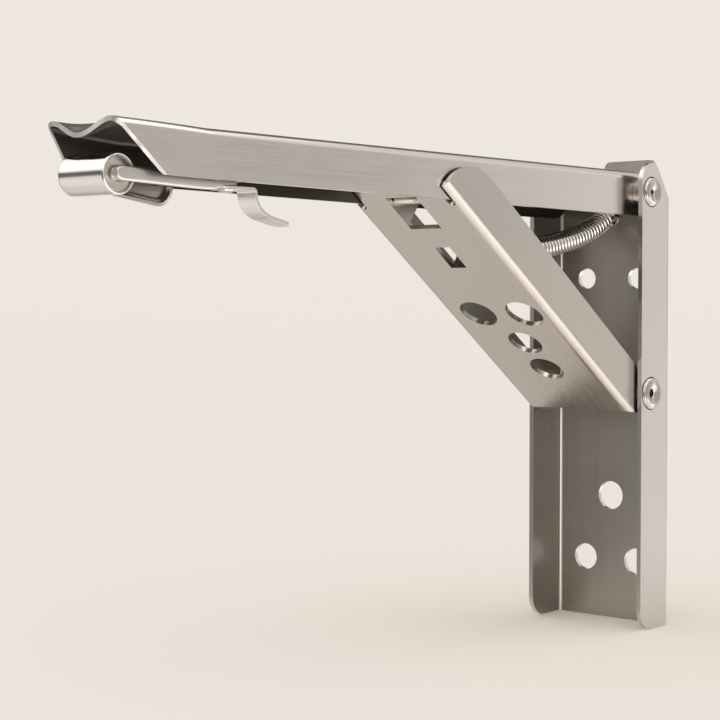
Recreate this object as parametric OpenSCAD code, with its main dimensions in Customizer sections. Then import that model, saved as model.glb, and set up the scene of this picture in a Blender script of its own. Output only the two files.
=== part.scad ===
// Folding shelf bracket in bent stainless sheet: a wall plate, an arm that carries the shelf,
// a strut that props the arm, and a pull latch under the arm that lets the strut go.
// Millimetres. Y = 0 is the wall, the arm reaches along -Y, X is the width and +Z is up.
// The origin is midway between the two upper wall screws, on the wall.

/* [Sheet] */
// Thickness of the plate, arm and strut sheet
sheet_t = 2; // [1.5:0.1:2.4]
// Outside radius of the lengthwise bends
bend_r = 3.5; // [3:0.1:4.5]

/* [Wall plate] */
// Width over the two flanges
plate_w = 58; // [54:1:70]
// Depth of the flanges from the wall
plate_depth = 23.5; // [21:0.5:27]
// Length of the plate below the upper screws
plate_drop = 151; // [140:1:180]
// Height of the back's top edge above the upper screws
back_rise = 48; // [46:0.5:50]
// Height of the lug above the back's top edge
lug_rise = 3.5; // [1:0.5:5]
// Width of the lug, to the near side from just past the middle
lug_w = 25.5; // [16:0.5:27]
// Height of the two ears above the arm's pivot
ear_rise = 12.2; // [11:0.1:14]
// Radius of the flanges' lower front corners
foot_r = 9; // [4:0.5:12]

/* [Wall screws] */
// Distance between the two holes of a pair
screw_pitch = 26; // [20:1:30]
// Diameter of the upper pair
upper_hole_d = 9; // [5:0.5:11]
// Diameter of the lower pair
lower_hole_d = 11.5; // [5:0.5:13]
// Distance of the lower pair below the upper pair
lower_drop = 125; // [110:1:130]
// Diameter of the single hole
single_hole_d = 12.5; // [6:0.5:15]
// Distance of the single hole below the upper pair
single_drop = 96.5; // [85:0.5:102]

/* [Pivots] */
// Distance of both pivots from the wall
pivot_out = 16; // [15.8:0.1:18]
// Height of the arm's pivot above the upper screws
arm_pivot_rise = 36.5; // [34:0.5:38]
// Distance of the strut's pivot below the upper screws
strut_pivot_drop = 49.5; // [46:0.5:54]
// Diameter of the tubular pivot rivets
pivot_d = 8; // [7:0.5:9]
// Diameter of the hole down the pivot rivets
pivot_hollow_d = 4.6; // [3:0.2:5]
// Diameter of the heads of the arm's pivot
arm_head_d = 12.4; // [11:0.2:14]
// Diameter of the heads of the strut's pivot
strut_head_d = 13.6; // [12:0.2:15]
// Height that the heads stand out of the plate
head_h = 1.8; // [1:0.1:2.5]
// Radial clearance of a pivot in its moving part
pivot_fit = 0.06; // [0.02:0.01:0.1]

/* [Arm] */
// Reach of the arm from the wall to its tip
arm_reach = 307.5; // [295:0.5:330]
// Height of the arm's sides at the pivot
arm_root_h = 19; // [18:0.5:20]
// Height of the arm's sides at the tip
arm_tip_h = 16; // [15:0.2:18]
// Height of the arm's top above its pivot
arm_above = 9; // [8.5:0.1:9.5]
// Gap between the arm's side and the strut's side
arm_gap = 1.2; // [0.8:0.1:1.6]
// Diameter of the two shelf screw holes
shelf_hole_d = 5.6; // [4:0.2:7]
// Distance of the first shelf screw from the wall
shelf_first = 60; // [50:1:65]
// Distance between the shelf screws
shelf_pitch = 40; // [30:1:42]

/* [Arm tip] */
// Length of the pressed tip
tip_len = 17; // [17:0.5:24]
// Depth of the groove pressed into the tip, below its crests
groove_d = 4.6; // [3:0.2:5.6]
// Distance between the two crests beside the groove
crest_pitch = 28; // [26:0.5:30]
// Height of the crests above the arm's top
crest_h = 1.8; // [0.6:0.1:2.2]
// Distance that the groove's floor stands out past the crests
tip_nose = 2.4; // [0.5:0.1:3]
// Distance that the tip's lower corners lie behind its top edge
tip_rake = 13.6; // [8:0.2:16]
// Diameter of the screw hole in the groove
tip_hole_d = 4.4; // [3:0.2:5]

/* [Strut] */
// Angle of the strut from the wall
strut_angle = 54.5; // [52:0.5:57]
// Length of the strut from its pivot to its head
strut_len = 160; // [158:0.5:163]
// Distance of the strut's outer face from its pivot
strut_face = 13.4; // [13:0.1:13.5]
// Depth of the strut's flanges
strut_depth = 19.2; // [18.5:0.1:20]
// Gap between the strut's flange and the plate's flange
strut_gap = 1; // [0.8:0.1:1.3]
// Diameter of the two round holes that lie side by side
pair_hole_d = 16.4; // [12:0.2:18]
// Diameter of the two round holes below them
low_hole_d = 15; // [12:0.5:16]
// Distances of the round holes from the pivot, along the strut
round_hole_at = [37.8, 57, 77.8];
// Distance between the two holes that lie side by side
pair_pitch = 23; // [20:0.5:26]
// Offset of the round holes from the middle, to the near side
hole_shift = 1.8; // [0:0.1:2.5]
// Width of the catch window
window_w = 15; // [14.5:0.5:18]
// Distance of the catch window's lower edge from the pivot
window_at = 135; // [133:0.5:136]
// Length of the catch window
window_len = 19.5; // [19:0.5:20]
// Width of the spring tab and of the window that it is bent from
tab_w = 7.6; // [7:0.2:11]
// Distance of the spring tab from the pivot
tab_at = 109.5; // [104:0.5:113]
// Length of the spring tab
tab_len = 12; // [10.5:0.5:12.5]

/* [Catch] */
// Diameter of the catch pin
catch_d = 5; // [4:0.2:6]
// Distance of the catch pin from the strut's pivot, along the strut
catch_at = 144; // [143:0.5:145]
// Distance of the catch pin inside the strut's outer face
catch_in = 8; // [7.6:0.1:8.4]
// Clearance of the catch in the latch
catch_gap = 0.5; // [0.3:0.05:0.6]
// Travel of the latch
latch_travel = 4; // [3:0.5:4]
// Thickness of the latch sheet
latch_t = 2; // [1.5:0.1:2.2]
// Gap above the latch bar
latch_gap = 1; // [0.6:0.1:1.2]
// Width of the latch bar
latch_w = 13; // [12:0.5:13.5]

/* [Pull handle] */
// Diameter of the grip barrel
grip_d = 13.2; // [11:0.2:13.4]
// Length of the grip barrel
grip_len = 22.8; // [20:0.2:28]
// Distance of the barrel's near end from the middle
grip_near = 13; // [12:0.2:13.4]
// Distance of the grip barrel's axis behind the arm's tip
grip_back = 5.5; // [3:0.5:8]
// Height of the grip barrel above the rod's rear end
grip_rise = 1.1; // [0.6:0.1:1.4]
// Diameter of the pull rod at the grip
rod_d = 4; // [3:0.2:4.4]
// Height of the flattened rod behind the grip
rod_tall = 5; // [4:0.2:5.2]
// Thickness of the flattened rod
rod_flat = 2.6; // [2:0.2:3]
// Distance of the pull rod below the arm's pivot
rod_below = 7.9; // [7.4:0.1:8.2]
// Distance of the latch rivet from the wall
latch_rivet_out = 257; // [252:1:260]
// Width of the finger leaf
leaf_w = 8.4; // [7:0.2:8.6]
// Thickness of the finger leaf
leaf_t = 1.1; // [0.8:0.1:1.3]
// Depth that the finger leaf hangs below its root
leaf_drop = 11.8; // [8:0.2:13]

/* [Spring] */
// Outside diameter of the assist spring
spring_d = 9.6; // [6:0.2:10]
// Diameter of the assist spring's wire
wire_d = 1.5; // [1:0.1:1.7]
// Number of turns of the assist spring
spring_turns = 38; // [24:1:42]
// Diameter of the spring stud
stud_d = 4; // [3.6:0.2:5]

/* [Hidden] */
$fn = 48;
eps = 0.01;
cut = 60;

// Steel colours
plate_grey = [0.60, 0.57, 0.53];
arm_grey = [0.76, 0.73, 0.70];
strut_grey = [0.66, 0.63, 0.59];
bright = [0.84, 0.82, 0.79];
spring_grey = [0.55, 0.53, 0.50];

// Widths, from the outside in
plate_in = plate_w - 2*sheet_t;
strut_w = plate_in - 2*strut_gap;
strut_in = strut_w - 2*sheet_t;
arm_w = strut_in - 2*arm_gap;
arm_in = arm_w - 2*sheet_t;
thin_gap = 0.1;

// Heights and places of the arm and its pivot
arm_pivot = [0, -pivot_out, arm_pivot_rise];
strut_pivot = [0, -pivot_out, -strut_pivot_drop];
arm_top = arm_pivot_rise + arm_above;
arm_under = arm_top - sheet_t;
arm_rear = 0.2 + arm_above;
function arm_h(y) = arm_root_h + (arm_tip_h - arm_root_h)*(-y - pivot_out)/(arm_reach - pivot_out);
function arm_low(y) = arm_top - arm_h(y);

// A point of the strut at rest, from its distance along the strut and inside its outer face
function strut_y(along, inside) =
    -pivot_out - along*sin(strut_angle) - (strut_face - inside)*cos(strut_angle);
function strut_z(along, inside) =
    -strut_pivot_drop + along*cos(strut_angle) - (strut_face - inside)*sin(strut_angle);

catch_y = strut_y(catch_at, catch_in);
catch_z = strut_z(catch_at, catch_in);
catch_r = catch_d/2;
// The slots for the arm's sides start where the arm's lower edge meets the strut
slot_clear = 0.6;
slot_at = (arm_low(catch_y) + strut_pivot_drop + (strut_face - sheet_t)*sin(strut_angle))
    /cos(strut_angle) - slot_clear;
tongue_w = arm_in - 2*slot_clear;
// Radius of the lugs round the strut's pivot, and where the web ends above it
lug_r = 9;
web_low = 6.5;
slot_w = sheet_t + 2*slot_clear;
ear_t = sheet_t;
catch_pin_len = window_w + 2*ear_t + 1.6;
// How far the folded strut's head and its catch pin reach out along the arm
fold_reach = pivot_out + arm_pivot_rise + strut_pivot_drop;

// Latch bar and its blades over the catch pin
bar_top = arm_under - latch_gap;
bar_low = bar_top - latch_t;
blade_rear = catch_r + latch_travel + catch_gap + 3.4;
blade_front = 6.5;
notch_rear = catch_r + latch_travel + catch_gap;
ramp_slope = 0.4;
ramp_rise = catch_r*sqrt(1 + ramp_slope*ramp_slope) + catch_gap;
lip_w = 8.6;
lip_x = arm_in/2 - 1;
rod_z = arm_pivot_rise - rod_below;
flat_t = 2;
lip_low = rod_z + flat_t/2;
lip_top = lip_low + latch_t;
leaf_top = rod_z - flat_t/2;
lip_mid = lip_x - lip_w/2;
lip_front = latch_rivet_out + 7;
lip_rear = latch_rivet_out - 8;
latch_rivet_d = 3.6;
latch_head_d = 6;
latch_head_h = 0.9;
rivet_x = lip_x - latch_t - latch_head_d/2 - 0.2;

// Guide studs of the latch bar: one past the open strut's head, one short of the folded strut's ears
guide_at = [7 - strut_y(strut_len, 0), fold_reach + catch_at - 20];
guide_d = 6;
guide_head_d = 10;
guide_neck_d = 3;
guide_fit = 0.2;
guide_hang = 3.6;

// Latch spring, from the first guide stud to a tab of the bar
latch_spring_d = 4.6;
latch_wire_d = 0.8;
latch_spring_turns = 14;
latch_tab_at = (guide_at[0] + guide_at[1])/2 + 1.5;
latch_tab_len = 5.8;
latch_spring_z = bar_low - 4.2;

// Pull handle
grip_y = -arm_reach + grip_back;
grip_z = rod_z + grip_rise;
grip_r = grip_d/2;
rod_r = rod_d/2;
rod_bend = 4;
cap_t = 0.8;
cap_in = 0.8;
rim_t = 0.9;
rod_x = grip_near - cap_in + rod_bend;
rod_end = latch_rivet_out + 8;

// Assist spring: from the stud to the strut's tab
stud_z = arm_pivot_rise - 9.6;
stud_neck_d = 2.8;
stud_neck_at = 5.6;
stud_neck_len = 2.2;
tab_hole_d = 3.4;
tab_hole_in = 8;
spring_r = (spring_d - wire_d)/2;
spring_from = [0, -stud_neck_at - stud_neck_len/2, stud_z];
spring_to = [0, strut_y(tab_at - sheet_t/2, tab_hole_in), strut_z(tab_at - sheet_t/2, tab_hole_in)];
wire_sides = 5;
turn_steps = 9;

// Flat outline of a square with its corners rounded, from x0,y0 to x1,y1
module rounded(x0, y0, x1, y1, r) {
    translate([x0 + r, y0]) square([x1 - x0 - 2*r, y1 - y0]);
    translate([x0, y0 + r]) square([x1 - x0, y1 - y0 - 2*r]);
    for (x = [x0 + r, x1 - r], y = [y0 + r, y1 - r]) translate([x, y]) circle(r);
}

// Section of a bent channel: width w, sides h long towards -Y, its back's outer face at Y = 0
module channel(w, h) {
    difference() {
        intersection() {
            rounded(-w/2, -h - 2*bend_r, w/2, 0, bend_r);
            translate([-w/2, -h]) square([w, h]);
        }
        rounded(-w/2 + sheet_t, -h - 3*bend_r, w/2 - sheet_t, -sheet_t, bend_r - sheet_t);
    }
}

// A flat outline drawn in Y and Z, extruded across the width w
module across(w) {
    translate([-w/2, 0, 0]) rotate([90, 0, 90]) linear_extrude(w) children();
}

module bar_x(d, w, at) {
    translate([at[0] - w/2, at[1], at[2]]) rotate([0, 90, 0]) cylinder(d = d, h = w);
}

module bar_y(d, from, to, x = 0, z = 0) {
    translate([x, from, z]) rotate([90, 0, 0]) cylinder(d = d, h = from - to);
}

// Side view of the plate's flanges: round nose round the pivot, slope down to the back, round foot
module flange_side() {
    nose_r = plate_depth - pivot_out;
    nose_z = arm_pivot_rise + ear_rise - nose_r;
    back_z = arm_pivot_rise - 5.5;
    difference() {
        union() {
            polygon([[0, -plate_drop], [0, back_z], [-pivot_out + nose_r*cos(45), nose_z + nose_r*sin(45)],
                     [-pivot_out, nose_z], [-plate_depth, nose_z], [-plate_depth, -plate_drop]]);
            translate([-pivot_out, nose_z]) circle(nose_r);
        }
        difference() {
            translate([-plate_depth - 1, -plate_drop - 1]) square([foot_r + 1, foot_r + 1]);
            translate([-plate_depth + foot_r, -plate_drop + foot_r]) circle(foot_r);
        }
    }
}

module wall_plate() {
    tongue = plate_in - 2*bend_r - 4;
    crown_r = 3;
    color(plate_grey) difference() {
        intersection() {
            translate([0, 0, -plate_drop]) linear_extrude(plate_drop + back_rise + lug_rise)
                channel(plate_w, plate_depth);
            union() {
                across(plate_w + 2) flange_side();
                rotate([90, 0, 0]) translate([0, 0, -1]) linear_extrude(sheet_t + 2) {
                    rounded(-tongue/2, 0, tongue/2, back_rise, crown_r);
                    rounded(tongue/2 - lug_w, 0, tongue/2, back_rise + lug_rise, crown_r);
                }
            }
        }
        for (x = [-screw_pitch/2, screw_pitch/2]) {
            bar_y(upper_hole_d, cut, -cut, x, 0);
            bar_y(lower_hole_d, cut, -cut, x, -lower_drop);
        }
        bar_y(single_hole_d, cut, -cut, 0, -single_drop);
        bar_x(pivot_d, plate_w + 2, arm_pivot);
        bar_x(pivot_d, plate_w + 2, strut_pivot);
        bar_y(stud_neck_d, cut, -cut, 0, stud_z);
    }
}

// Points of the tip's outer section, from the foot of one side over the top to the other, each with
// the direction that its skin faces. k is 0 where the tip starts and 1 at its front edge. A shoulder
// is an arc under the crest, a straight slope and a larger arc down to the side.
slope_a = 40;
function crest_r(k) = bend_r - k;
function side_r(k) = bend_r + 3.9*k;
function slope_len(k) = 0.05 + k*((arm_w - crest_pitch)/2 - crest_r(1)*cos(slope_a)
    - side_r(1)*(1 - cos(slope_a)))/sin(slope_a);
function wave(x, k) = abs(x) < crest_pitch/2 ?
    k*(crest_h - groove_d/2*(1 + cos(360*x/crest_pitch))) : k*crest_h;
function wave_tilt(x, k) = abs(x) < crest_pitch/2 ?
    atan(k*groove_d/2*360/crest_pitch*PI/180*sin(360*x/crest_pitch)) : 0;
function half_section(k, low) = let(
    r1 = crest_r(k), r2 = side_r(k), n = slope_len(k),
    cx = arm_w/2 - r1*cos(slope_a) - n*sin(slope_a) - r2*(1 - cos(slope_a)),
    top = arm_top + k*crest_h, side_z = top - r1*(1 - sin(slope_a)) - n*cos(slope_a) - r2*sin(slope_a))
    concat([[arm_w/2, low, 0]],
    [for (i = [0:5]) let(a = slope_a*i/5) [arm_w/2 - r2*(1 - cos(a)), side_z + r2*sin(a), a]],
    [for (i = [0:4]) let(a = slope_a + (90 - slope_a)*i/4) [cx + r1*cos(a), top - r1*(1 - sin(a)), a]],
    [for (i = [1:11]) let(x = cx*(1 - i/12)) [x, arm_top + wave(x, k), 90 + wave_tilt(x, k)]]);
function tip_section(k, low) = let(h = half_section(k, low)) concat(h,
    [[0, arm_top + wave(0, k), 90]],
    [for (i = [len(h) - 1:-1:0]) [-h[i][0], h[i][1], 180 - h[i][2]]]);
// Both skins of the tip's sheet as one closed ring of points. The tip is a hair thicker than the
// channel and starts inside its end, so that no faces of the two coincide.
grow = 0.04;
function skin(s, depth) = [for (i = [0:len(s) - 1]) let(p = s[i], foot = i == 0 || i == len(s) - 1)
    [p[0] + depth*cos(p[2]), p[1] + (foot ? -grow : depth*sin(p[2]))]];
function tip_ring(k, low, back, share) = let(
    s = tip_section(k, low), outer = skin(s, grow), inner = skin(s, -sheet_t - grow)) concat(
    [for (p = outer) [p[0], ring_y(p[0], p[1], back, share), p[1]]],
    [for (i = [len(s) - 1:-1:0]) let(p = inner[i]) [p[0], ring_y(p[0], p[1], back, share), p[1]]]);
// The front edge stands out at the groove and leans back towards its lower corners
function rake(z) = let(q = max(0, arm_top - 5 - z)/(arm_tip_h - 5)) tip_rake*(0.28*q + 0.72*q*q);
function nose(x) = abs(x) < crest_pitch/2 ? tip_nose*(1 - cos(360*x/crest_pitch))/2 : tip_nose;
function ring_y(x, z, back, share) = back + share*(nose(x) - arm_reach + rake(z) - back);

module tip() {
    back = -arm_reach + tip_len;
    rings = 9;
    low = arm_low(-arm_reach + tip_nose + tip_rake);
    points = [for (j = [0:rings]) let(share = j/rings, k = share*share)
        tip_ring(k, arm_low(back) + share*(low - arm_low(back)), back + 0.5, share)];
    n = len(points[0]);
    flat = [for (ring = points, p = ring) p];
    half = n/2;
    skin = [for (j = [0:rings - 1], i = [0:n - 1]) let(a = j*n + i, b = j*n + (i + 1)%n)
        [[a, a + n, b], [b, a + n, b + n]]];
    back_end = [for (i = [0:half - 2]) [[i, i + 1, n - 1 - i], [i + 1, n - 2 - i, n - 1 - i]]];
    m = rings*n;
    front_end = [for (i = [0:half - 2])
        [[m + i, m + n - 1 - i, m + i + 1], [m + i + 1, m + n - 1 - i, m + n - 2 - i]]];
    polyhedron(flat, [for (pair = concat(skin, back_end, front_end), f = pair) f]);
}

module arm_side() {
    back = -arm_reach + tip_len;
    polygon([[-pivot_out, arm_top], [back, arm_top], [back, arm_low(back)],
             [-pivot_out, arm_low(-pivot_out)]]);
    intersection() {
        translate([-pivot_out, arm_pivot_rise]) circle(arm_rear + 0.6);
        translate([-pivot_out - 1, arm_low(-pivot_out)]) square([arm_rear + 2, arm_root_h]);
    }
}

module arm() {
    color(arm_grey) difference() {
        union() {
            intersection() {
                translate([0, 0, arm_top]) rotate([90, 0, 0]) translate([0, 0, -cut])
                    linear_extrude(arm_reach - tip_len + cut) channel(arm_w, arm_root_h + 1);
                across(arm_w + 2) arm_side();
            }
            tip();
        }
        for (i = [0, 1]) translate([0, -shelf_first - i*shelf_pitch, arm_under - 1])
            cylinder(d = shelf_hole_d, h = sheet_t + 2);
        translate([0, -arm_reach + 0.34*tip_len, arm_under - 2*groove_d])
            cylinder(d = tip_hole_d, h = 3*groove_d);
        for (y = guide_at) translate([0, -y, arm_under - 1]) cylinder(d = guide_neck_d, h = sheet_t + 2);
        bar_x(pivot_d + 2*pivot_fit, arm_w + 2, arm_pivot);
    }
}

// Side view of the strut with its pivot at the centre: round lug, straight flange, round head.
// A straight edge runs from the web's lower end to touch the lug.
module strut_side() {
    head_r = strut_depth - 0.2;
    corner = [-strut_face, web_low];
    touch = atan2(corner[1], corner[0]) + acos(lug_r/norm(corner));
    circle(lug_r);
    polygon([corner, lug_r*[cos(touch), sin(touch)], [0, 0], [strut_depth - strut_face, web_low]]);
    translate([-strut_face, web_low - eps]) square([strut_depth, strut_len - head_r - web_low + eps]);
    intersection() {
        translate([-strut_face, strut_len - head_r]) circle(head_r);
        translate([-strut_face, strut_len - head_r - 1]) square([strut_depth, head_r + 1]);
    }
}

// Places a child that is drawn with the strut's pivot at the centre and the strut upright
module on_strut() {
    translate(strut_pivot) rotate([strut_angle, 0, 0]) children();
}

// Hole through the strut's web
module web_hole(x, at, d) {
    translate([x, 0, at]) rotate([90, 0, 0]) cylinder(d = d, h = cut);
}

module strut() {
    ear_lo = catch_at - 7;
    ear_hi = catch_at + 6;
    ear_deep = catch_in + catch_r + 2;
    color(strut_grey) on_strut() difference() {
        union() {
            difference() {
                intersection() {
                    translate([0, -strut_face, -cut/2]) mirror([0, 1, 0])
                        linear_extrude(strut_len + cut) channel(strut_w, strut_depth + cut);
                    across(strut_w + 2) strut_side();
                }
                // Lower end of the web
                translate([-strut_w/2 + bend_r, -strut_face - 1, -cut]) cube([strut_w - 2*bend_r, cut, cut + web_low]);
                // Slots that take the arm's sides
                for (s = [-1, 1]) translate([s*(tongue_w + slot_w)/2, -strut_face - 1, slot_at + slot_w/2]) {
                    translate([-slot_w/2, 0, 0]) cube([slot_w, sheet_t + 1 + slot_clear, strut_len]);
                    rotate([-90, 0, 0]) cylinder(d = slot_w, h = sheet_t + 1 + slot_clear);
                }
                // Catch window, spring tab's window and round holes
                translate([-window_w/2, -cut, window_at]) cube([window_w, cut, window_len]);
                translate([-tab_w/2, -cut, tab_at]) cube([tab_w, cut, tab_len + 1.5]);
                web_hole(hole_shift, round_hole_at[0], low_hole_d);
                web_hole(hole_shift, round_hole_at[1], low_hole_d);
                for (s = [-1, 1]) web_hole(hole_shift + s*pair_pitch/2, round_hole_at[2], pair_hole_d);
            }
            // Ears bent in from the window's sides, which hold the catch pin
            for (s = [-1, 1]) translate([s*(window_w + ear_t)/2, 0, 0])
                across(ear_t) rounded(-strut_face + 0.5, ear_lo, -strut_face + ear_deep, ear_hi, 3);
            // Tab bent in for the spring
            translate([-tab_w/2, -strut_face, tab_at - sheet_t]) cube([tab_w, tab_len, sheet_t]);
        }
        bar_x(catch_d + 0.04, window_w + 2*ear_t + 2, [0, -strut_face + catch_in, catch_at]);
        translate([0, -strut_face + tab_hole_in, tab_at - sheet_t - 1]) cylinder(d = tab_hole_d, h = sheet_t + 2);
        bar_x(pivot_d + 2*pivot_fit, strut_w + 2, [0, 0, 0]);
    }
}

// Domed and dished head of a tubular rivet, standing on z = 0
module rivet_head(head_d) {
    dish = 1;
    rotate_extrude() polygon([[0, 0], [head_d/2, 0], [head_d/2, 0.35*head_h], [0.44*head_d, 0.72*head_h],
        [0.36*head_d, 0.93*head_h], [0.28*head_d, head_h], [pivot_hollow_d/2 + dish, head_h],
        [pivot_hollow_d/2, head_h - dish], [0, head_h - dish]]);
}

// Tubular rivet through both ears and the arm
module arm_pivot_rivet() {
    color(bright) translate(arm_pivot) rotate([0, 90, 0]) difference() {
        union() {
            cylinder(d = pivot_d, h = plate_w, center = true);
            for (s = [0, 1]) mirror([0, 0, s]) translate([0, 0, plate_w/2]) rivet_head(arm_head_d);
        }
        cylinder(d = pivot_hollow_d, h = plate_w + 4*head_h, center = true);
    }
}

// Two short tubular rivets, one in each side, so that the folded arm's sides pass between them. The
// inner end of each is set to a flat collar that stays clear of the arm.
module strut_pivot_rivets() {
    collar_t = arm_gap - 0.4;
    inner = strut_in/2 - collar_t;
    color(bright) for (s = [0, 1]) translate(strut_pivot) rotate([0, 90, 0]) mirror([0, 0, s]) difference() {
        union() {
            translate([0, 0, inner]) cylinder(d = pivot_d, h = plate_w/2 - inner);
            translate([0, 0, inner]) cylinder(d = pivot_d + 2.4, h = collar_t - 0.05);
            translate([0, 0, plate_w/2]) rivet_head(strut_head_d);
        }
        translate([0, 0, inner - 1]) cylinder(d = pivot_hollow_d, h = plate_w);
    }
}

// Pair of rings on a pivot, each filling the gap from half width x0 out to x1
module pivot_rings(at, x0, x1, d) {
    for (s = [-1, 1]) translate([s*(x0 + x1)/2, 0, 0]) difference() {
        bar_x(d, x1 - x0, at);
        bar_x(pivot_d + pivot_fit, x1 - x0 + 2, at);
    }
}

module arm_pivot_spacers() {
    color(bright) pivot_rings(arm_pivot, arm_w/2 + thin_gap, plate_in/2, pivot_d + 4);
}

module strut_pivot_washers() {
    color(bright) pivot_rings(strut_pivot, strut_w/2 + thin_gap, plate_in/2, pivot_d + 3);
}

// Headed stud riveted through the plate's back, with a neck for the spring
module spring_stud() {
    neck_end = stud_neck_at + stud_neck_len;
    head_r = stud_d/2 - 0.1;
    color(bright) translate([0, 0, stud_z]) rotate([90, 0, 0]) rotate_extrude() polygon([
        [0, 0.3], [stud_neck_d/2, 0.3], [stud_neck_d/2, sheet_t], [stud_d/2 + 2, sheet_t],
        [stud_d/2 + 2, sheet_t + 0.8], [stud_d/2, sheet_t + 1], [stud_d/2, stud_neck_at],
        [stud_neck_d/2, stud_neck_at], [stud_neck_d/2, neck_end], [head_r, neck_end],
        [head_r, neck_end + 0.5], [0.8*head_r, neck_end + 1.2], [0.45*head_r, neck_end + 1.6], [0, neck_end + 1.7]]);
}

// Wire of diameter d swept along a list of points, closed at both ends
function unit(v) = v/max(norm(v), 1e-9);
function along(path, i) = unit(path[min(i + 1, len(path) - 1)] - path[max(i - 1, 0)]);
function wire_ring(path, i, side, r) = let(
    t = along(path, i), u = unit(side - (side*t)*t), v = cross(t, u))
    [for (k = [0:wire_sides - 1]) path[i] + r*(cos(360*k/wire_sides)*u + sin(360*k/wire_sides)*v)];
module wire(path, sides, d) {
    n = wire_sides;
    count = len(path);
    points = [for (i = [0:count - 1]) wire_ring(path, i, sides[i], d/2)];
    skin = [for (i = [0:count - 2], k = [0:n - 1]) let(a = i*n + k, b = i*n + (k + 1)%n)
        [[a, b, b + n], [a, b + n, a + n]]];
    first = [for (k = [1:n - 2]) [0, k + 1, k]];
    last = let(m = (count - 1)*n) [for (k = [1:n - 2]) [m, m + k, m + k + 1]];
    polyhedron([for (ring = points, p = ring) p],
        concat([for (pair = skin, f = pair) f], first, last));
}

// Middle line of the assist spring: steep below the stud, then level to the tab
function bow(s) = let(
    a = spring_from, d = spring_to, b = a + [0, -15, -10.1], c = d + [0, 46, 0], q = 1 - s)
    q*q*q*a + 3*q*q*s*b + 3*q*s*s*c + s*s*s*d;
function bow_dir(s) = unit(bow(min(1, s + 0.01)) - bow(max(0, s - 0.01)));

module assist_spring() {
    // The coil takes the middle of the line, and a hook the stretch at each end
    s0 = 0.05;
    s1 = 0.94;
    steps = spring_turns*turn_steps;
    coil = [for (i = [0:steps]) let(s = s0 + (s1 - s0)*i/steps, a = 360*i/turn_steps + 90,
        t = bow_dir(s), v = cross(t, [1, 0, 0])) bow(s) + spring_r*(cos(a)*[1, 0, 0] + sin(a)*v)];
    loop_r = stud_neck_d/2 + wire_d/2 + 0.15;
    first = [for (a = [-150:30:120]) spring_from + loop_r*[sin(a), 0, cos(a)]];
    last = [for (i = [1:4]) let(s = s1 + (0.985 - s1)*i/4) bow(s) + spring_r*(1 - i/4)*cross(bow_dir(s1), [1, 0, 0])];
    hook = let(t = bow_dir(1), n = [0, -sin(strut_angle), cos(strut_angle)], c = spring_to)
        [c + 0.4*n, c - 1.4*n, c - 2.6*n + 0.6*t];
    path = concat(first, coil, last, hook);
    sides = concat([for (p = first) [0, 1, 0]],
        [for (i = [0:steps]) bow_dir(s0 + (s1 - s0)*i/steps)],
        [for (p = last) [1, 0, 0]], [for (p = hook) [1, 0, 0]]);
    color(spring_grey) wire(path, sides, wire_d);
}

module catch_pin() {
    color(bright) on_strut() bar_x(catch_d, catch_pin_len, [0, -strut_face + catch_in, catch_at]);
}

// Side view of a latch blade, with the notch that drops over the catch pin
module blade_side() {
    low = catch_z - catch_r + 0.5;
    difference() {
        polygon([[catch_y + blade_rear, bar_top - eps], [catch_y - blade_front, bar_top - eps],
                 [catch_y - blade_front, catch_z + 0.4], [catch_y - blade_front + 1, low + 1.5],
                 [catch_y + blade_rear, low]]);
        polygon([[catch_y + notch_rear, low - 1], [catch_y + notch_rear, catch_z + catch_r + catch_gap],
                 [catch_y, catch_z + catch_r + catch_gap], [catch_y - 0.4, catch_z + ramp_rise - 0.16],
                 [catch_y - blade_front - 2, catch_z + ramp_rise - (blade_front + 2)*ramp_slope],
                 [catch_y - blade_front - 2, low - 1]]);
    }
}

module latch_bar() {
    half = latch_w/2;
    front = lip_front;
    slot_len = latch_travel + 0.6;
    color(strut_grey) difference() {
        union() {
            // Flat bar, widened to the near side at the front
            translate([-half, -front, bar_low])
                cube([latch_w, catch_y + blade_rear + front, latch_t]);
            translate([-half, -front, bar_low]) cube([half + lip_x, front - lip_rear, latch_t]);
            // Side drop and lip that carry the pull rod
            translate([lip_x - latch_t, -front, lip_low]) cube([latch_t, front - lip_rear, bar_top - lip_low]);
            translate([lip_x - lip_w, -front, lip_low]) cube([lip_w, front - lip_rear, latch_t]);
            // Two blades over the catch pin
            for (s = [-1, 1]) translate([s*(half - latch_t/2), 0, 0]) across(latch_t) blade_side();
            // Tab for the latch spring
            translate([-3, -latch_tab_at - latch_t/2, bar_low - latch_tab_len])
                cube([6, latch_t/2 + 0.2, latch_tab_len + eps]);
        }
        for (y = guide_at) for (k = [0, slot_len]) translate([0, -y + k, bar_low - 1])
            cylinder(d = guide_d + 2*guide_fit, h = latch_t + 2);
        for (y = guide_at) translate([-guide_d/2 - guide_fit, -y, bar_low - 1])
            cube([guide_d + 2*guide_fit, slot_len, latch_t + 2]);
        translate([rivet_x, -latch_rivet_out, lip_low - 1]) cylinder(d = latch_rivet_d, h = latch_t + 2);
        bar_y(1.6, -latch_tab_at + 3, -latch_tab_at - 3, 0, latch_spring_z);
    }
}

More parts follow.
